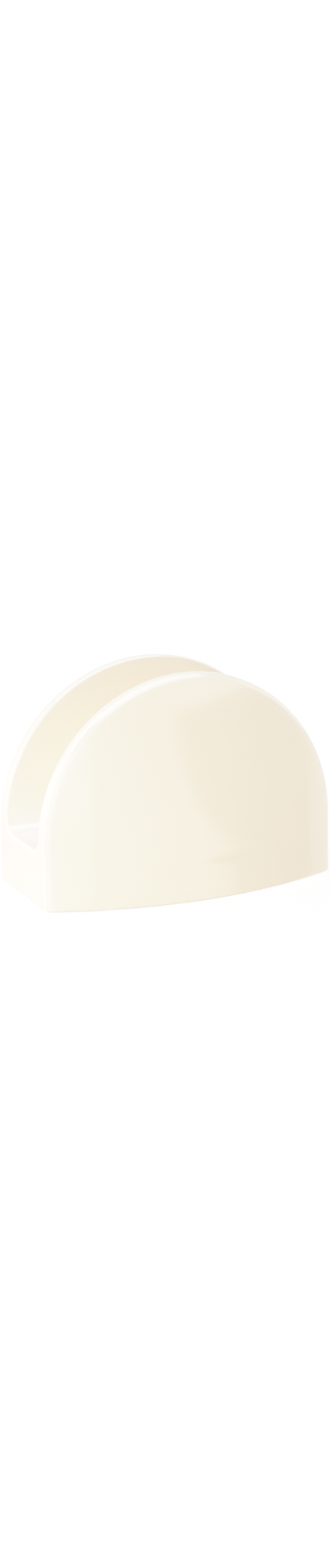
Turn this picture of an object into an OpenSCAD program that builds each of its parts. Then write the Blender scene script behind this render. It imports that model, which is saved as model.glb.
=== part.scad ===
// Napkin holder in glazed porcelain.
// Two arched walls stand on either side of a coved trough, and folded napkins stand on edge between them.
// The walls' outer faces are domed and lean inwards, and their inner faces are flat and upright.
// Each of the three pieces is a casting, hollow underneath, and the walls are luted to the trough.
// Millimetres. X runs along the slot, Y goes across it and Z is up.
// The origin is on the table, under the middle of the slot.

/* [Arch] */
// Length from one end face to the other, which is also the arch's diameter
length = 118; // [106:1:128]
// Height of the arches above the table
height = 82.5; // [79:0.5:90]

/* [Walls] */
// Thickness of a wall at the top of its rim
rim_thickness = 5; // [4.5:0.1:8.5]
// How far each outer face swells out beyond its rim
swell = 12.3; // [9.5:0.1:14.5]
// Lean of the outer faces towards the slot, in degrees
lean = 1.8; // [0.8:0.2:2.4]
// Radius that rounds the rim into the outer face
rim_round = 3.3; // [1.8:0.1:3.6]
// Radius that rounds the rim into the slot
lip_round = 1; // [0.6:0.1:1.6]

/* [Slot] */
// Width of the slot between the walls
slot_width = 30.5; // [25:0.5:37]
// Height of the slot's floor above the table
floor_height = 21; // [18:0.5:24]
// Radius of the coves between the floor and the walls
cove_radius = 5.5; // [3:0.5:8]

/* [Casting] */
// Thickness of the cast skin
skin = 4.5; // [3.5:0.1:5]
// Depth of the rebates that take the trough's upstands
rebate_depth = 2.5; // [1.5:0.1:3]
// Height of the upstands above the top of the coves
upstand_rise = 1; // [0.5:0.1:3]
// Width of the solid border round each wall's pocket
pocket_border = 26; // [24:0.5:31]
// Radius of the corners inside the walls' pockets
pocket_round = 1.2; // [0.6:0.1:1.5]
// Radius of the upright corners of the trough's pocket
trough_corner = 4; // [2:0.5:6]
// Bevel round the foot
foot_bevel = 0.8; // [0.4:0.1:1.2]

/* [Hidden] */
glaze = "#f4eedd";
$fn = 180;
half_turn = 180;
quarter_turn = 90;
eighth_turn = 45;
// How far a cutting shape runs past the face it cuts
overrun = 5;
// How much faster than the lean the outer form widens behind its rounded rim, in degrees
relief = 2.4;
// How far the pocket's outer form runs past its outline, so that the two cross at an open angle
pocket_ease = 0.1;
half_length = length / 2;
half_slot = slot_width / 2;
half_trough = half_slot + rebate_depth;
pocket_half = half_length - pocket_border;
cove_height = floor_height + cove_radius;
upstand_height = cove_height + upstand_rise;
// The arch springs from upright sides at this height
spring_height = height - half_length;
// Distance of the rim's plane from the slot's middle, on the level where the arch springs
rim_reach = half_slot + rim_thickness + half_length * tan(lean);
// The outer face is part of a ball over the arch and part of a drum below it, both of this radius
face_radius = (half_length * half_length + swell * swell) / (2 * swell);
// Distance of an outer face from the slot's middle, at the foot and halfway along
foot_reach = rim_reach + spring_height * tan(lean) + swell / cos(lean);
// Depth of a block that is sure to hold a whole wall
block_reach = foot_reach + overrun;

// Half of a wall's section, from the arch's axis out: flat towards the slot, with a rounded lip, and plain outside.
// X is the distance from the axis and Y the distance from the slot's middle.
module inner_section(half, start, round) {
    translate([0, start]) square([half - round, block_reach - start]);
    translate([0, start + round]) square([half, block_reach - start - round]);
    translate([half - round, start + round]) circle(round);
}

// The same half section with the outer face, a shallow dome that rolls into the rim.
// Y is the distance from the rim's plane. Behind the rim the form widens, so that only its face shapes the wall.
module outer_section(half, radius, crown, round) {
    dome_y = crown - radius;
    round_x = half - round;
    round_y = dome_y + sqrt(pow(radius - round, 2) - pow(round_x, 2));
    touch_x = round_x * radius / (radius - round);
    edge_x = round_x + round * cos(lean + relief);
    edge_y = round_y + round * sin(lean + relief);
    back_y = -block_reach;
    back_x = edge_x + (edge_y - back_y) * tan(lean + relief);
    intersection() {
        translate([0, dome_y]) circle(radius);
        translate([0, back_y]) square([touch_x, crown - back_y]);
    }
    translate([round_x, round_y]) circle(round);
    polygon([[0, back_y], [back_x, back_y], [edge_x, edge_y], [0, edge_y]]);
}

// Carries a half section round the arch, and then straight down both sides of it by the drop.
module arch(drop) {
    rotate_extrude(angle = half_turn) children();
    rotate([quarter_turn, 0, 0]) linear_extrude(drop) {
        children();
        mirror([1, 0]) children();
    }
}

// Stands an arch upright with its face to the front and its axis on the level where the arch springs.
module upright() {
    translate([0, 0, spring_height]) rotate([quarter_turn, 0, 0]) children();
}

// The common form of a wall and of the pocket in it: an upright inner face, and an outer face that leans in.
module wall_form(half, start, inner_round, radius, crown, outer_round, ease, drop) {
    intersection() {
        upright() arch(drop) inner_section(half, start, inner_round);
        upright() translate([0, 0, rim_reach]) rotate([-lean, 0, 0])
            arch(drop + overrun) outer_section(half + ease, radius, crown, outer_round);
    }
}

// The shape under the holder's outline from end to end, between two upright planes.
module arch_block(half_depth) {
    translate([0, half_depth, 0]) upright() arch(spring_height) square([half_length, 2 * half_depth]);
}

// What comes off a square edge to round it. The edge is at the origin and the piece lies below and left of it.
module edge_waste(round) {
    difference() {
        translate([-round, -round]) square(2 * round);
        translate([-round, -round]) circle(round);
    }
}

// What comes off the ends' lower edges to bevel them.
module end_bevel_waste() {
    side = foot_bevel / cos(eighth_turn);
    for (end = [-1, 1]) translate([end * half_length, 0, 0]) rotate([0, eighth_turn, 0])
        cube([side, 2 * block_reach, side], center = true);
}

// What comes off the front face's lower edge to bevel it, a ring with a coned inside.
module face_bevel_waste() {
    translate([0, face_radius - foot_reach, -foot_bevel]) difference() {
        cylinder(h = 2 * foot_bevel, r = face_radius + overrun);
        cylinder(h = 2 * foot_bevel, r1 = face_radius - 2 * foot_bevel, r2 = face_radius);
    }
}

module front_wall() {
    color(glaze) difference() {
        wall_form(half_length, half_slot, lip_round, face_radius, swell, rim_round, 0, spring_height);
        wall_form(pocket_half, half_trough + skin, pocket_round, face_radius - skin, swell - skin, pocket_round,
            pocket_ease, spring_height + overrun);
        translate([-half_length - overrun, -half_trough, -overrun])
            cube([length + 2 * overrun, half_trough, upstand_height + overrun]);
        end_bevel_waste();
        face_bevel_waste();
    }
}

module back_wall() {
    mirror([0, 1, 0]) front_wall();
}

// Section of the slot's foot, across the holder.
module slot_section() {
    translate([-half_slot, cove_height]) square([slot_width, upstand_rise + overrun]);
    translate([cove_radius - half_slot, floor_height]) square([slot_width - 2 * cove_radius, cove_radius]);
    for (side = [-1, 1]) translate([side * (half_slot - cove_radius), cove_height]) circle(cove_radius);
}

// What comes off the edge where the slot's foot meets an end face: along the floor, round the coves and up.
module mouth_waste() {
    translate([half_length, 0, floor_height]) rotate([quarter_turn, 0, 0])
        linear_extrude(slot_width - 2 * cove_radius, center = true) edge_waste(lip_round);
    for (side = [0, 1]) mirror([0, side, 0]) {
        translate([0, half_slot - cove_radius, cove_height]) rotate([0, quarter_turn, 0])
            rotate_extrude(angle = quarter_turn)
                translate([cove_radius, half_length]) mirror([1, 0]) edge_waste(lip_round);
        translate([half_length, half_slot, cove_height])
            linear_extrude(upstand_rise + overrun) mirror([0, 1]) edge_waste(lip_round);
    }
}

// Plan of the trough's pocket, a rectangle with round corners.
module pocket_plan(along, across, corner) {
    square([along - 2 * corner, across], center = true);
    square([along, across - 2 * corner], center = true);
    for (x = [-1, 1], y = [-1, 1])
        translate([x * (along / 2 - corner), y * (across / 2 - corner)]) circle(corner);
}

module saddle() {
    color(glaze) difference() {
        intersection() {
            arch_block(half_trough);
            translate([-half_length, -half_trough, 0]) cube([length, 2 * half_trough, upstand_height]);
        }
        rotate([quarter_turn, 0, quarter_turn])
            linear_extrude(length + 2 * overrun, center = true) slot_section();
        for (end = [0, 1]) mirror([end, 0, 0]) mouth_waste();
        translate([0, 0, -overrun]) linear_extrude(floor_height - skin + overrun)
            pocket_plan(length - 2 * skin, 2 * half_trough - 2 * skin, trough_corner);
        end_bevel_waste();
    }
}

front_wall();
back_wall();
saddle();
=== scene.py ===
import math

import bmesh
import bpy
from mathutils import Matrix, Vector


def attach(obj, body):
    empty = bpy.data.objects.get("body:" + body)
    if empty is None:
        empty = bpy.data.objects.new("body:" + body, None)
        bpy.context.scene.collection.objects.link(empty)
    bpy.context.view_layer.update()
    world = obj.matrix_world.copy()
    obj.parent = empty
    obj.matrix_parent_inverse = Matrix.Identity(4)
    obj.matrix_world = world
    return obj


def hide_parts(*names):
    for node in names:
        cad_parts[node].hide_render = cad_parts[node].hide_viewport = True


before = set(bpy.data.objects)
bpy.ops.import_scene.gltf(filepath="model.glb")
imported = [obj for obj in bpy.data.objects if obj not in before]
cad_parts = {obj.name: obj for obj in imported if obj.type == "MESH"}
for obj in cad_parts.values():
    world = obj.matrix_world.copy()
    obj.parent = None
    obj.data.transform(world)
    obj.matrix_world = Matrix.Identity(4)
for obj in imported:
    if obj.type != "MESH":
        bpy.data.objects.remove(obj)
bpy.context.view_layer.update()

# The trough
# A hollow slip casting in white porcelain: the floor of the slot, its coved sides and two low upstands.
# The upstands are luted into rebates in the walls, and one coat of ivory glaze runs over the whole holder.
# Sizes are in millimetres.
MM = 0.001
half_length = 59
spring = 23.5
half_slot = 15.25
trough_side = 17.75
slot_floor = 21
cove = 5.5
upstand_top = 27.5
mouth_round = 1
foot_round = 0.8
pocket_end = 54.5
pocket_side = 13.25
pocket_corner = 4
pocket_roof = 16.5
roof_fillet = 1.5
# How high the pooled glaze and its painted light stand above the slot's floor, and the thinner run of both up
# the sides
pool_height = 6.5
run_height = 28
# How much painted light pales the glaze all over the slot's inside, and how much more in the run and in the
# pool, where the glaze also lies thick, 1 being thickest and palest
slot_painted_light, run_depth, pool_depth = 0.28, 0.12, 0.6
# How far from a rounded edge the glaze stays thin
thin_edge = 1.3
# Points closer than the weld are joined, and edges that turn by more than the crease stay sharp
weld = 0.002
crease = math.radians(38)
# The places of the three finishes in each piece's list
GLAZED, HOLLOW, BARE = range(3)


def spread(first, last, steps):
    """Evenly spaced values, both ends among them."""
    return [first + (last - first) * step / steps for step in range(steps + 1)]


def end_reach(z):
    """How far the holder's outline reaches from its middle at a height: upright sides, then the arch."""
    return math.sqrt(half_length ** 2 - max(0, z - spring) ** 2)


def tuck(z):
    """How far a side draws in where it rolls under to the foot."""
    below = max(0, foot_round - z)
    return foot_round - math.sqrt(foot_round ** 2 - below ** 2)


def foot_heights(top, steps):
    """Heights from the table up to the given one, close together round the foot."""
    rolled = [foot_round * (1 - math.cos(turn)) for turn in spread(0, math.pi / 2, 7)]
    return rolled + spread(foot_round, top, steps)[1:]


def pooled_and_painted_light(y, z):
    """Where the slot's glaze is painted paler, as painted light: a little all over the slot's sides, and most
    along its floor and coves, where the glaze also pools.
    """
    if abs(y) > half_slot + weld or z < slot_floor - mouth_round:
        return 0
    above = max(0, z - slot_floor)
    run = run_depth * math.exp(-(above / run_height) ** 2)
    pool_and_painted_light = pool_depth * math.exp(-(above / pool_height) ** 2)
    return slot_painted_light + run + pool_and_painted_light


def thinned(away):
    """Where the glaze runs thin: on a rounded edge, fading over the next few millimetres."""
    return math.exp(-max(0, away) / thin_edge)


def sew(name, nets, mirrored):
    """Makes a piece from nets of points. A point is x, y, z and how thin the glaze is there, from 0 to 1."""
    shell = bmesh.new()
    thin = shell.verts.layers.float.new("thin_glaze")
    # This layer holds both the pooled glaze and the painted light in the slot.
    deep_and_painted_light = shell.verts.layers.float.new("deep_glaze_and_painted_light")
    for rows, coats in nets:
        grid = []
        for row in rows:
            knots = []
            for x, y, z, edge in row:
                knot = shell.verts.new((x * MM, y * MM, z * MM))
                knot[thin] = edge
                knot[deep_and_painted_light] = pooled_and_painted_light(y, z)
                knots.append(knot)
            grid.append(knots)
        for coat, low, high in zip(coats, grid, grid[1:]):
            for corners in zip(low, low[1:], high[1:], high):
                shell.faces.new(corners).material_index = coat
    bmesh.ops.remove_doubles(shell, verts=shell.verts, dist=weld * MM)
    bmesh.ops.dissolve_degenerate(shell, edges=shell.edges, dist=weld * MM)
    for axis in mirrored:
        everything = shell.verts[:] + shell.edges[:] + shell.faces[:]
        bmesh.ops.mirror(shell, geom=everything, merge_dist=weld * MM, axis=axis)
    bmesh.ops.recalc_face_normals(shell, faces=shell.faces)
    mesh = bpy.data.meshes.new(name)
    shell.to_mesh(mesh)
    shell.free()
    mesh.shade_smooth()
    mesh.set_sharp_from_angle(angle=crease)
    piece = bpy.data.objects.new(name, mesh)
    bpy.context.scene.collection.objects.link(piece)
    return piece


def slot_section():
    """The slot's foot from the top of an upstand to the middle of the floor, with its normals."""
    section = [(half_slot, z, -1, 0) for z in spread(upstand_top, slot_floor + cove, 2)]
    for turn in spread(0, math.pi / 2, 14)[1:]:
        across, rise = math.cos(turn), -math.sin(turn)
        section.append((half_slot - cove + cove * across, slot_floor + cove + cove * rise, -across, -rise))
    section += [(y, slot_floor, 0, 1) for y in spread(half_slot - cove, 0, 5)[1:]]
    return section


def slot_row(y, z, normal_y, normal_z):
    """One line along the slot, from its middle to the rounded mouth at the end."""
    start = end_reach(z) - mouth_round
    row = [(start * share, y, z, thinned(start * (1 - share))) for share in spread(0, 1, 22)]
    for turn in spread(0, math.pi / 2, 7)[1:]:
        drop = mouth_round * (1 - math.cos(turn))
        low = z - normal_z * drop
        x = end_reach(low) - mouth_round * (1 - math.sin(turn))
        row.append((x, y - normal_y * drop, low, 1))
    return row


slot_net = [slot_row(*point) for point in slot_section()]
upstand_net = [[(x, y + (trough_side - y) * share, z, edge) for x, y, z, edge in slot_net[0]]
               for share in spread(0, 1, 3)]
# The trough's side goes along under the upstand, and its end face goes on from there below the mouth.
side_line = upstand_net[-1]
mouth_line = [row[-1] for row in reversed(upstand_net[:-1])] + [row[-1] for row in slot_net[1:]]
mouth_walk = [0]
for here, there in zip([side_line[-1]] + mouth_line, mouth_line):
    mouth_walk.append(mouth_walk[-1] + math.dist(here[:3], there[:3]))


def outside_row(z):
    """The trough's side and end at one height of the side. The end's points lie on lines below the mouth."""
    reach = end_reach(z) - tuck(z)
    row = [(x * reach / side_line[-1][0], trough_side, z, 0) for x, _, _, _ in side_line]
    for (_, y, top, _), walked in zip(mouth_line, mouth_walk[1:]):
        foot_y = trough_side * (1 - walked / mouth_walk[-1])
        if z <= foot_round:
            height, share = z, 0
        else:
            share = (z - foot_round) / (upstand_top - foot_round)
            height = foot_round + (top - foot_round) * share
        reach = end_reach(height) - tuck(height)
        row.append((reach, foot_y + (y - foot_y) * share, height, thinned(top - height)))
    return row


def pocket_row(z, inset):
    """The outline of the pocket in the trough's underside, matched point by point to the outside."""
    corner = pocket_corner - inset
    end, side = pocket_end - inset, pocket_side - inset
    # The shares of the side and of the end that go round the corner
    side_bend, end_bend = 0.1, 0.3

    def on_corner(turn):
        return end - corner + corner * math.sin(turn), side - corner + corner * math.cos(turn), z, 0

    row = []
    for x, _, _, _ in side_line:
        share = x / side_line[-1][0]
        if share < 1 - side_bend:
            row.append(((end - corner) * share / (1 - side_bend), side, z, 0))
        else:
            row.append(on_corner(math.pi / 4 * (share - (1 - side_bend)) / side_bend))
    for walked in mouth_walk[1:]:
        share = walked / mouth_walk[-1]
        if share < end_bend:
            row.append(on_corner(math.pi / 4 * (1 + share / end_bend)))
        else:
            row.append((end, (side - corner) * (1 - share) / (1 - end_bend), z, 0))
    return row


roof_rows = []
for turn in spread(0, math.pi / 2, 5):
    drop, inset = roof_fillet * (1 - math.cos(turn)), roof_fillet * (1 - math.sin(turn))
    roof_rows.append(pocket_row(pocket_roof - drop, inset))
roof_knots = spread(0, pocket_end - roof_fillet, len(roof_rows[0]) - 1)
middle_line = [(x, 0, pocket_roof, 0) for x in roof_knots]
upright_rows = [pocket_row(z, 0) for z in spread(pocket_roof - roof_fillet, 0, 4)[1:]]
pocket_rows = [middle_line] + roof_rows + upright_rows
outside_rows = [outside_row(z) for z in foot_heights(upstand_top, 24)]
trough_coats = [HOLLOW] * (len(pocket_rows) - 1) + [BARE] + [GLAZED] * (len(outside_rows) - 1)
trough = sew("glazed_trough", [
    (slot_net, [GLAZED] * len(slot_net)),
    (upstand_net, [GLAZED] * len(upstand_net)),
    (pocket_rows + outside_rows, trough_coats),
], "XY")


def place(tree, kind, feeds=None, **settings):
    """Adds a node, sets what it is told and links or fills its inputs."""
    node = tree.nodes.new(kind)
    for name, value in settings.items():
        setattr(node, name, value)
    for name, feed in (feeds or {}).items():
        if isinstance(feed, bpy.types.NodeSocket):
            tree.links.new(feed, node.inputs[name])
        else:
            node.inputs[name].default_value = feed
    return node


def work_out(tree, operation, first, second=0.0):
    return place(tree, "ShaderNodeMath", {0: first, 1: second}, operation=operation).outputs[0]


def mix_colours(tree, share, first, second):
    """Blends two colours by a share from 0 to 1."""
    blend = place(tree, "ShaderNodeMix", {0: share, 6: first, 7: second}, data_type="RGBA")
    return blend.outputs[2]


def new_effect(name, takes, gives):
    """Starts a node group with named sockets. Returns its tree, its inputs and its output node."""
    tree = bpy.data.node_groups.new(name, "ShaderNodeTree")
    for socket, (kind, value) in takes.items():
        made = tree.interface.new_socket(socket, in_out="INPUT", socket_type=kind)
        if value is not None:
            made.default_value = value
    for socket, kind in gives.items():
        tree.interface.new_socket(socket, in_out="OUTPUT", socket_type=kind)
    return tree, tree.nodes.new("NodeGroupInput").outputs, tree.nodes.new("NodeGroupOutput").inputs


def use_effect(tree, effect, feeds=None):
    return place(tree, "ShaderNodeGroup", feeds, node_tree=effect).outputs


# How the glaze's surface swims: broad soft waves from pouring, and a finer peel. Their heights are in metres.
ripple, takes, gives = new_effect(
    "glaze_ripple",
    {"Waves": ("NodeSocketFloat", 0.00002), "Peel": ("NodeSocketFloat", 0.000001)},
    {"Normal": "NodeSocketVector"},
)
spot = place(ripple, "ShaderNodeTexCoord").outputs["Object"]
broad = place(ripple, "ShaderNodeTexNoise", {"Vector": spot, "Scale": 55.0, "Detail": 1.0}).outputs["Fac"]
fine = place(ripple, "ShaderNodeTexNoise", {"Vector": spot, "Scale": 620.0, "Detail": 2.0}).outputs["Fac"]
rise = work_out(ripple, "ADD", work_out(ripple, "MULTIPLY", broad, takes["Waves"]),
                work_out(ripple, "MULTIPLY", fine, takes["Peel"]))
swim = place(ripple, "ShaderNodeBump", {"Height": rise, "Distance": 1.0, "Strength": 1.0})
ripple.links.new(swim.outputs["Normal"], gives["Normal"])

# How deep the glaze lies: pale on the edges, where the white body shows through, and milky where it pooled.
# The milky tone also paints light into the slot: its inside is paler all over, and palest along its floor and
# coves.
depth, takes, gives = new_effect(
    "glaze_depth",
    {
        "Glaze": ("NodeSocketColor", (0.9, 0.85, 0.7, 1)),
        "Thin": ("NodeSocketColor", (0.95, 0.93, 0.86, 1)),
        "Drift": ("NodeSocketColor", (0.85, 0.78, 0.6, 1)),
        "Milky_and_painted_light": ("NodeSocketColor", (0.97, 0.92, 0.84, 1)),
    },
    {"Colour": "NodeSocketColor"},
)
spot = place(depth, "ShaderNodeTexCoord").outputs["Object"]
edge = place(depth, "ShaderNodeAttribute", attribute_name="thin_glaze").outputs["Fac"]
pool_and_painted_light = place(depth, "ShaderNodeAttribute", attribute_name="deep_glaze_and_painted_light").outputs["Fac"]
cloud = place(depth, "ShaderNodeTexNoise", {"Vector": spot, "Scale": 16.0, "Detail": 1.0}).outputs["Fac"]
flow = place(depth, "ShaderNodeMapRange", {"Value": cloud, "From Min": 0.2, "From Max": 0.8, "To Max": 0.25},
             interpolation_type="SMOOTHERSTEP")
least_shown = 0.7
broken = work_out(depth, "MULTIPLY", edge, work_out(depth, "ADD", least_shown, flow.outputs[0]))
body = mix_colours(depth, flow.outputs[0], takes["Glaze"], takes["Drift"])
# In the slot the milky colour is partly pooled glaze and partly painted light.
body = mix_colours(depth, pool_and_painted_light, body, takes["Milky_and_painted_light"])
depth.links.new(mix_colours(depth, broken, body, takes["Thin"]), gives["Colour"])

# Tiny iron specks under the glaze, a few on each wall.
specks, takes, gives = new_effect(
    "iron_specks",
    {"Share": ("NodeSocketFloat", 0.05)},
    {"Speck": "NodeSocketFloat"},
)
spot = place(specks, "ShaderNodeTexCoord").outputs["Object"]
cells = place(specks, "ShaderNodeTexVoronoi", {"Vector": spot, "Scale": 330.0})
near = place(specks, "ShaderNodeMapRange", {
    "Value": cells.outputs["Distance"], "From Min": 0.03, "From Max": 0.085, "To Min": 1.0, "To Max": 0.0,
})
lot = place(specks, "ShaderNodeSeparateColor", {0: cells.outputs["Color"]}).outputs[0]
chosen = work_out(specks, "LESS_THAN", lot, takes["Share"])
specks.links.new(work_out(specks, "MULTIPLY", near.outputs[0], chosen), gives["Speck"])

# Where the glaze was wiped off before firing, along a slightly uneven line just above the foot. The bare band
# shows darkened clay, which paints the shadow along the foot.
# How far the line wanders and how softly it ends are in metres.
line_wander, line_softness = 0.0006, 0.00012
wiped_and_shadowed, takes, gives = new_effect(
    "wiped_and_shadowed_line",
    {"Height": ("NodeSocketFloat", 0.0005)},
    {"Bare": "NodeSocketFloat"},
)
spot = place(wiped_and_shadowed, "ShaderNodeTexCoord").outputs["Object"]
level = place(wiped_and_shadowed, "ShaderNodeSeparateXYZ", {0: spot}).outputs["Z"]
wander = place(wiped_and_shadowed, "ShaderNodeTexNoise", {"Vector": spot, "Scale": 160.0, "Detail": 3.0}).outputs["Fac"]
uneven = work_out(wiped_and_shadowed, "MULTIPLY", work_out(wiped_and_shadowed, "SUBTRACT", wander, 0.5), line_wander)
line = work_out(wiped_and_shadowed, "ADD", takes["Height"], uneven)
over = work_out(wiped_and_shadowed, "DIVIDE", work_out(wiped_and_shadowed, "SUBTRACT", line, level), line_softness)
over = place(wiped_and_shadowed, "ShaderNodeClamp", {0: work_out(wiped_and_shadowed, "ADD", over, 0.5)}).outputs[0]
wiped_and_shadowed.links.new(over, gives["Bare"])

# The fired body where no glaze covers it: a clay tone darkened below the body's own warm white as a painted
# shadow along the foot, with a fine sandy tooth and faint grey rubs.
biscuit_and_foot_shadow, takes, gives = new_effect(
    "bare_body_and_foot_shadow",
    {"Clay_and_foot_shadow": ("NodeSocketColor", (0.68, 0.6, 0.48, 1)), "Rub": ("NodeSocketColor", (0.55, 0.53, 0.5, 1))},
    {"Colour": "NodeSocketColor", "Tooth": "NodeSocketFloat"},
)
spot = place(biscuit_and_foot_shadow, "ShaderNodeTexCoord").outputs["Object"]
grit = place(biscuit_and_foot_shadow, "ShaderNodeTexNoise", {"Vector": spot, "Scale": 3200.0, "Detail": 4.0}).outputs["Fac"]
rubs = place(biscuit_and_foot_shadow, "ShaderNodeTexNoise", {"Vector": spot, "Scale": 70.0, "Detail": 5.0, "Roughness": 0.7})
worn = place(biscuit_and_foot_shadow, "ShaderNodeMapRange", {
    "Value": rubs.outputs["Fac"], "From Min": 0.52, "From Max": 0.75, "To Max": 0.35,
}).outputs[0]
grit_shade = 0.15
toned = mix_colours(biscuit_and_foot_shadow, work_out(biscuit_and_foot_shadow, "MULTIPLY", grit, grit_shade), takes["Clay_and_foot_shadow"], takes["Rub"])
biscuit_and_foot_shadow.links.new(mix_colours(biscuit_and_foot_shadow, worn, toned, takes["Rub"]), gives["Colour"])
biscuit_and_foot_shadow.links.new(grit, gives["Tooth"])


def new_finish(name):
    finish = bpy.data.materials.new(name)
    finish.use_nodes = True
    tree = finish.node_tree
    tree.nodes.clear()
    shader = tree.nodes.new("ShaderNodeBsdfPrincipled")
    tree.links.new(shader.outputs[0], place(tree, "ShaderNodeOutputMaterial").inputs["Surface"])
    return finish, tree, shader


# The share of places that have a speck, how strongly it shows and its rusty brown
speck_share, speck_strength, speck_colour = 0.02, 0.28, (0.42, 0.33, 0.22, 1)
wiped_roughness = 0.75


def glaze(name, colour, thin, drift, milky_and_painted_light, waves, smooth, rough):
    """A clear coat over a toned body. Smooth and rough are the ends that its roughness wanders between."""
    finish, tree, shader = new_finish(name)
    # The milky colour paints light into the slot, on top of the glaze that pools there.
    tone = use_effect(tree, depth, {"Glaze": colour, "Thin": thin, "Drift": drift, "Milky_and_painted_light": milky_and_painted_light})["Colour"]
    speck = use_effect(tree, specks, {"Share": speck_share})["Speck"]
    tone = mix_colours(tree, work_out(tree, "MULTIPLY", speck, speck_strength), tone, speck_colour)
    bare = use_effect(tree, wiped_and_shadowed)["Bare"]
    clay_and_foot_shadow = use_effect(tree, biscuit_and_foot_shadow)
    spot = place(tree, "ShaderNodeTexCoord").outputs["Object"]
    handled = place(tree, "ShaderNodeTexNoise", {"Vector": spot, "Scale": 48.0, "Detail": 1.0})
    gloss = place(tree, "ShaderNodeMapRange", {
        "Value": handled.outputs["Fac"], "From Min": 0.25, "From Max": 0.75,
        "To Min": smooth, "To Max": rough,
    }).outputs[0]
    sheen = place(tree, "ShaderNodeMix", {0: bare, 2: gloss, 3: wiped_roughness})
    # Along the foot the darkened clay shows through: a painted shadow on the real wiped band.
    tree.links.new(mix_colours(tree, bare, tone, clay_and_foot_shadow["Colour"]), shader.inputs["Base Color"])
    tree.links.new(sheen.outputs[0], shader.inputs["Roughness"])
    tree.links.new(work_out(tree, "SUBTRACT", 1.0, bare), shader.inputs["Coat Weight"])
    tree.links.new(use_effect(tree, ripple, {"Waves": waves})["Normal"], shader.inputs["Normal"])
    # The coat gives the gloss, and the body under it has next to none of its own.
    shader.inputs["IOR"].default_value = 1.15
    shader.inputs["Coat Roughness"].default_value = 0.14
    shader.inputs["Coat IOR"].default_value = 1.75
    return finish


def bare_clay(name):
    finish, tree, shader = new_finish(name)
    clay_and_foot_shadow = use_effect(tree, biscuit_and_foot_shadow)
    tooth = place(tree, "ShaderNodeBump", {"Height": clay_and_foot_shadow["Tooth"], "Distance": 0.00004, "Strength": 1.0})
    tree.links.new(clay_and_foot_shadow["Colour"], shader.inputs["Base Color"])
    tree.links.new(tooth.outputs["Normal"], shader.inputs["Normal"])
    shader.inputs["Roughness"].default_value = 0.78
    return finish


# Below a roughness of about 0.275 the picture's noise filter draws hard patches on the glaze.
ivory = glaze(
    "ivory_glaze", colour=(0.95, 0.8, 0.577, 1), thin=(0.96, 0.85, 0.69, 1),
    drift=(0.945, 0.785, 0.553, 1), milky_and_painted_light=(0.98, 0.935, 0.86, 1), waves=0.00002, smooth=0.28, rough=0.34)
lining = glaze(
    "thin_glaze_in_the_hollow", colour=(0.9, 0.8, 0.64, 1), thin=(0.92, 0.84, 0.72, 1),
    drift=(0.88, 0.76, 0.58, 1), milky_and_painted_light=(0.92, 0.86, 0.76, 1), waves=0.00004, smooth=0.3, rough=0.45)
foot_clay = bare_clay("bare_foot")


def finish_piece(piece, node):
    """Gives a piece its three finishes, and lets it stand for its node of the frame."""
    for finish in (ivory, lining, foot_clay):
        piece.data.materials.append(finish)
    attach(piece, "root")
    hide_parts(node)


finish_piece(trough, "saddle")

# The two walls
# Hollow castings from one mould, domed outside and flat towards the slot, with a rounded arched rim.
# Each is luted along its rebate to an upstand of the trough, and the glaze hides the join.
rim_thickness = 5
swell = 12.3
lean = math.radians(1.8)
rim_round = 3.3
lip_round = 1
pocket_half = 33
pocket_round = 1.2
# How far past its rounded edge the pocket's seam lies
pocket_seam = 0.3
# Thickness of the cast skin between the pocket and the faces
skin = 4.5
# How thin the glaze is on the rim's outer edge, where 1 is as thin as on the lip
rim_thin = 0.55
# How strongly a section's points crowd towards the rim, inside and outside, and how late its heart climbs
inner_crowd, outer_crowd, heart_crowd = 1.5, 1.35, 1.6
# Heights where the topmost sections of the wall and of its pocket meet the wall's middle line
wall_heart = 58
pocket_heart = 45
rim_reach = half_slot + rim_thickness + half_length * math.tan(lean)
face_radius = (half_length ** 2 + swell ** 2) / (2 * swell)


def ball_centre(crown, radius):
    """Middle of the ball that the leaning face is part of: distance from the slot's middle, and height."""
    back = crown - radius
    return rim_reach + back * math.cos(lean), spring + back * math.sin(lean)


def face_depth(x, z, crown, radius, inset=0):
    """Distance of the domed face from the slot's middle: a ball above the springing and a drum below it."""
    away, level = ball_centre(crown, radius)
    reach = radius - inset
    ball = away + math.sqrt(reach ** 2 - x ** 2 - (z - level) ** 2)
    drum = away + (math.sqrt(reach ** 2 - x ** 2) - math.sin(lean) * (z - level)) / math.cos(lean)
    climb = (z - level) * math.cos(lean) + (drum - away) * math.sin(lean)
    return ball if climb > 0 else drum


def face_normal(x, z, crown, radius, inset):
    """Direction that the domed face looks in at the ball of a rounded edge."""
    away, level = ball_centre(crown, radius)
    depth_here = face_depth(x, z, crown, radius, inset)
    out = Vector((x, depth_here - away, z - level))
    up_the_face = Vector((0, -math.sin(lean), math.cos(lean)))
    climb = out.dot(up_the_face)
    if climb < 0:
        out -= up_the_face * climb
    return out.normalized()


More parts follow.
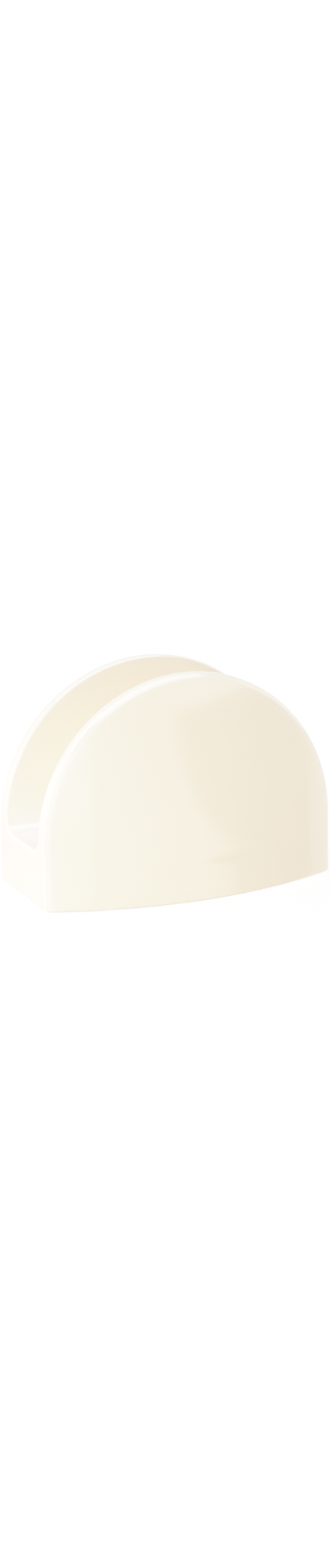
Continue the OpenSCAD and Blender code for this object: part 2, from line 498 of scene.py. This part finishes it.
def section_row(edge_x, edge_z, facing, heart, near, lip, seam, crown, radius, round_out, drawn_in):
    """A wall's section at one place on its outline, from the middle of its inner face to its outer face's.
    Edge is the place, facing its normal, heart the height where the section meets the wall's middle line.
    Near is the inner face's distance from the slot's middle, and seam that of the join with the trough.
    Lip and round out are the rounded edges, and drawn in is how far the faces tuck in at the foot.
    A point here is x, distance from the slot's middle, z and how thin the glaze is."""
    inward = Vector((edge_x, 0, edge_z)) - facing * (lip + drawn_in)
    row = []
    for share in spread(0, 1, 14):
        across = 1 - (1 - share) ** inner_crowd
        away = math.hypot(inward.x, inward.z - heart) * (1 - across)
        row.append((inward.x * across, near, heart + (inward.z - heart) * across, thinned(away) * (lip > 0)))
    for turn in spread(0, math.pi / 2, 7)[1:]:
        knot = inward + facing * (lip * math.sin(turn))
        row.append((knot.x, near + lip * (1 - math.cos(turn)), knot.z, float(lip > 0)))
    rim = inward + facing * lip
    for share in spread(0, 1, 2)[1:]:
        depth_here = near + lip + (seam - near - lip) * share
        row.append((rim.x, depth_here, rim.z, thinned(depth_here - near - lip) * (lip > 0)))
    hub = Vector((edge_x, 0, edge_z)) - facing * round_out
    hub.y = face_depth(hub.x, hub.z, crown, radius, round_out)
    out = face_normal(hub.x, hub.z, crown, radius, round_out)
    for share in spread(0, 1, 5)[1:]:
        depth_here = seam + (hub.y - seam) * share
        by_lip = thinned(depth_here - near - lip) * (lip > 0)
        row.append((rim.x, depth_here, rim.z, max(rim_thin * thinned(hub.y - depth_here), by_lip)))
    for share in spread(0, 1, 12)[1:]:
        knot = hub + facing.slerp(out, share) * (round_out - drawn_in)
        row.append((knot.x, knot.y, knot.z, rim_thin))
    start = hub + out * (round_out - drawn_in)
    for share in spread(0, 1, 30)[1:]:
        inner = share ** outer_crowd
        x, z = start.x * (1 - inner), start.z + (heart - start.z) * inner
        away = math.hypot(start.x, start.z - heart) * inner
        row.append((x, face_depth(x, z, crown, radius) - drawn_in, z, rim_thin * thinned(away)))
    return row


def outline_places(half, join, heart_top, low_heights, steps):
    """Places up one side of an arched outline: the given heights to the join, then round to the top.
    A place is x, z, the outline's normal there and the heart of its section."""
    places = []
    for z in low_heights:
        rise = max(0, z - spring)
        places.append((math.sqrt(half ** 2 - rise ** 2), z, Vector((1, 0, 0)), z))
    first = math.asin(max(0, join - spring) / half)
    for turn in spread(first, math.pi / 2, steps):
        facing = Vector((math.cos(turn), 0, math.sin(turn)))
        if turn == first:
            facing = Vector((1, 0, 0))
        climb = (turn - first) / (math.pi / 2 - first)
        heart = join + (heart_top - join) * math.sin(climb * math.pi / 2) ** heart_crowd
        places.append((half * math.cos(turn), spring + half * math.sin(turn), facing, heart))
    return places


heights = foot_heights(upstand_top, 16)
edge_places = outline_places(half_length, upstand_top, wall_heart, heights, 84)
wall_rows = []
for number, (x, z, facing, heart) in enumerate(edge_places):
    below = number < len(heights)
    wall_rows.append(section_row(
        x, z, facing, heart, near=trough_side if below else half_slot, lip=0 if below else lip_round,
        seam=trough_side, crown=swell, radius=face_radius, round_out=rim_round,
        drawn_in=tuck(z) if below else 0))
hollow_rows = []
pocket_near = trough_side + skin
for x, z, facing, heart in outline_places(pocket_half, spring, pocket_heart, spread(0, spring, 6)[:-1], 30):
    hollow_rows.append(section_row(
        x, z, facing, heart, near=pocket_near, lip=pocket_round,
        seam=pocket_near + pocket_round + pocket_seam, crown=swell - skin, radius=face_radius - skin,
        round_out=pocket_round, drawn_in=0))
wall_net = hollow_rows[::-1] + wall_rows
wall_coats = [HOLLOW] * (len(hollow_rows) - 1) + [BARE] + [GLAZED] * (len(wall_rows) - 1)
for name, node, side in (("glazed_front_wall", "front_wall", -1), ("glazed_back_wall", "back_wall", 1)):
    net = [[(x, side * away, z, edge) for x, away, z, edge in row] for row in wall_net]
    finish_piece(sew(name, [(net, wall_coats)], "X"), node)

# The table
# A plain sheet of matt white paper. It isn't mirrored in the glaze, and it glows, most towards the camera,
# so that it comes out as white as the photograph's surround. Its size is in metres.
table_half = 6
glow_all_round, glow_to_camera = 0.142, 0.25
fleck_strength = 0.04
sheet = bpy.data.meshes.new("table")
square = [(x * table_half, y * table_half, 0) for x, y in ((-1, -1), (1, -1), (1, 1), (-1, 1))]
sheet.from_pydata(square, [], [(0, 1, 2, 3)])
table = bpy.data.objects.new("table", sheet)
bpy.context.scene.collection.objects.link(table)
paper, tree, shader = new_finish("white_paper")
spot = place(tree, "ShaderNodeTexCoord").outputs["Object"]
fibres = place(tree, "ShaderNodeTexNoise", {"Vector": spot, "Scale": 900.0, "Detail": 3.0}).outputs["Fac"]
fleck = work_out(tree, "MULTIPLY", fibres, fleck_strength)
tone = mix_colours(tree, fleck, (0.93, 0.93, 0.93, 1), (0.88, 0.88, 0.88, 1))
tree.links.new(tone, shader.inputs["Base Color"])
shader.inputs["Roughness"].default_value = 0.9
shader.inputs["Emission Color"].default_value = (1, 1, 1, 1)
seen = place(tree, "ShaderNodeLightPath").outputs["Is Camera Ray"]
glow = work_out(tree, "ADD", glow_all_round, work_out(tree, "MULTIPLY", seen, glow_to_camera))
tree.links.new(glow, shader.inputs["Emission Strength"])
sheet.materials.append(paper)
table.visible_glossy = False

# Light
# A white studio room, seen by the camera and dimmer in the glaze, with broad soft lamps on most sides.
# Most of their light comes from the left and from above.
room_in_gloss = 0.641
softness = math.radians(45)
world = bpy.data.worlds.new("studio")
bpy.context.scene.world = world
world.use_nodes = True
room = world.node_tree.nodes["Background"]
room.inputs["Color"].default_value = (1, 1, 1, 1)
rays = place(world.node_tree, "ShaderNodeLightPath")
mirrored = work_out(world.node_tree, "MULTIPLY", rays.outputs["Is Glossy Ray"], room_in_gloss)
shown = work_out(world.node_tree, "ADD", rays.outputs["Is Camera Ray"], mirrored)
world.node_tree.links.new(shown, room.inputs["Strength"])


def soft_light(name, strength, bearing, climb):
    """A broad soft light. Its bearing goes round to the right from straight in front, its climb upwards."""
    lamp = bpy.data.lights.new(name, "SUN")
    lamp.energy = strength
    lamp.angle = softness
    light = bpy.data.objects.new(name, lamp)
    turn, rise = math.radians(bearing), math.radians(climb)
    source = Vector((math.sin(turn) * math.cos(rise), -math.cos(turn) * math.cos(rise), math.sin(rise)))
    light.rotation_euler = source.to_track_quat("Z", "Y").to_euler()
    bpy.context.scene.collection.objects.link(light)


soft_light("left_light", 1.0, -90, 14)
soft_light("front_left_light", 0.41, -50, 12)
soft_light("high_front_light", 0.79, 0, 62)
soft_light("back_left_light", 1.08, -135, 35)
soft_light("right_light", 0.3, 90, 32)
soft_light("front_right_light", 0.1, 50, 32)

# Panels and screen
# Cloths hung on a circle round the holder and over it, in metres. They show in its gloss and nowhere else.
# The dark one gives the soft dark patch on the front wall, and the lit white ones give the pale rims.
stand_off = 0.6
panel_foot, panel_top = -0.2, 0.45
lid_half, lid_height = 0.4, 0.7


def hang(name, corners, panes, finish):
    """Puts up a sheet of cloth that only the gloss can see."""
    cloth = bpy.data.meshes.new(name)
    cloth.from_pydata(corners, [], panes)
    cloth.materials.append(finish)
    sheet = bpy.data.objects.new(name, cloth)
    bpy.context.scene.collection.objects.link(sheet)
    sheet.visible_camera = False
    sheet.visible_diffuse = False
    sheet.visible_shadow = False


def hang_round(name, edges, right_edge, columns, finish):
    """Hangs a cloth on a circle round the holder. Edges gives its left edge's bearing at each height."""
    corners, panes = [], []
    for z, left_edge in edges:
        for bearing in spread(math.radians(left_edge), math.radians(right_edge), columns):
            corners.append((stand_off * math.sin(bearing), -stand_off * math.cos(bearing), z))
    for level in range(len(edges) - 1):
        for column in range(columns):
            first = level * (columns + 1) + column
            panes.append((first, first + 1, first + columns + 2, first + columns + 1))
    hang(name, corners, panes, finish)


def woven(name, first, second, lit=0.0):
    """A matt cloth, blotched between two colours, with light behind it if lit is more than nothing."""
    finish, tree, shader = new_finish(name)
    spot = place(tree, "ShaderNodeTexCoord").outputs["Object"]
    nap = place(tree, "ShaderNodeTexNoise", {"Vector": spot, "Scale": 40.0, "Detail": 3.0}).outputs["Fac"]
    tone = mix_colours(tree, nap, first, second)
    tree.links.new(tone, shader.inputs["Base Color"])
    tree.links.new(tone, shader.inputs["Emission Color"])
    shader.inputs["Emission Strength"].default_value = lit
    shader.inputs["Roughness"].default_value = 1.0
    return finish


# The dark screen's left edge leans: its height and its bearing there
slant = ((-0.5, 38), (-0.15, 36), (-0.09, 27), (0.04, 20), (0.17, 17), (0.32, 19))
felt = woven("black_felt", (0.01, 0.01, 0.01, 1), (0.02, 0.02, 0.02, 1))
hang_round("dark_screen", slant, 67, 24, felt)
silk_shades = (0.98, 0.98, 0.98, 1), (1, 1, 1, 1)
# Each panel's left and right bearings and its glow
panels = (
    ("back_left_panel", -150, -95, 1.52),
    ("left_panel", -95, -62, 1.06),
    ("front_left_panel", -62, -36, 1.91),
    ("front_panel", -36, -14, 0.9),
)
for name, left_edge, right_edge, lit in panels:
    edges = ((panel_foot, left_edge), (panel_top, left_edge))
    hang_round(name, edges, right_edge, 12, woven(name, *silk_shades, lit))
lid_corners = [(x * lid_half, y * lid_half, lid_height) for x, y in ((-1, -1), (1, -1), (1, 1), (-1, 1))]
hang("overhead_panel", lid_corners, [(0, 1, 2, 3)], woven("overhead_silk", *silk_shades, 2.3))

# Film
# Its soft shoulder keeps the pale glaze from burning out. A point is a tone before and after.
film_points = (0.443, 0.837), (0.758, 0.965)
film = bpy.context.scene.view_settings
film.view_transform = "Standard"
film.use_curve_mapping = True
for before, after in film_points:
    film.curve_mapping.curves[3].points.new(before, after)
film.curve_mapping.update()

# Camera
# It stands in front and to the left, a little above, as in the photograph.
eye = Vector((-347.27, -729.07, 257.17)) * MM
yaw, pitch, roll = math.radians(25.452), math.radians(15.321), math.radians(-0.224)
forward = Vector((math.sin(yaw) * math.cos(pitch), math.cos(yaw) * math.cos(pitch), -math.sin(pitch)))
level_right = Vector((math.cos(yaw), -math.sin(yaw), 0))
level_up = level_right.cross(forward)
right = level_right * math.cos(roll) + level_up * math.sin(roll)
up = level_up * math.cos(roll) - level_right * math.sin(roll)
lens = bpy.data.cameras.new("camera")
lens.lens = 50.74
lens.clip_start = 0.01
camera = bpy.data.objects.new("camera", lens)
camera.matrix_world = Matrix.Translation(eye) @ Matrix((right, up, -forward)).transposed().to_4x4()
bpy.context.scene.collection.objects.link(camera)
bpy.context.scene.camera = camera
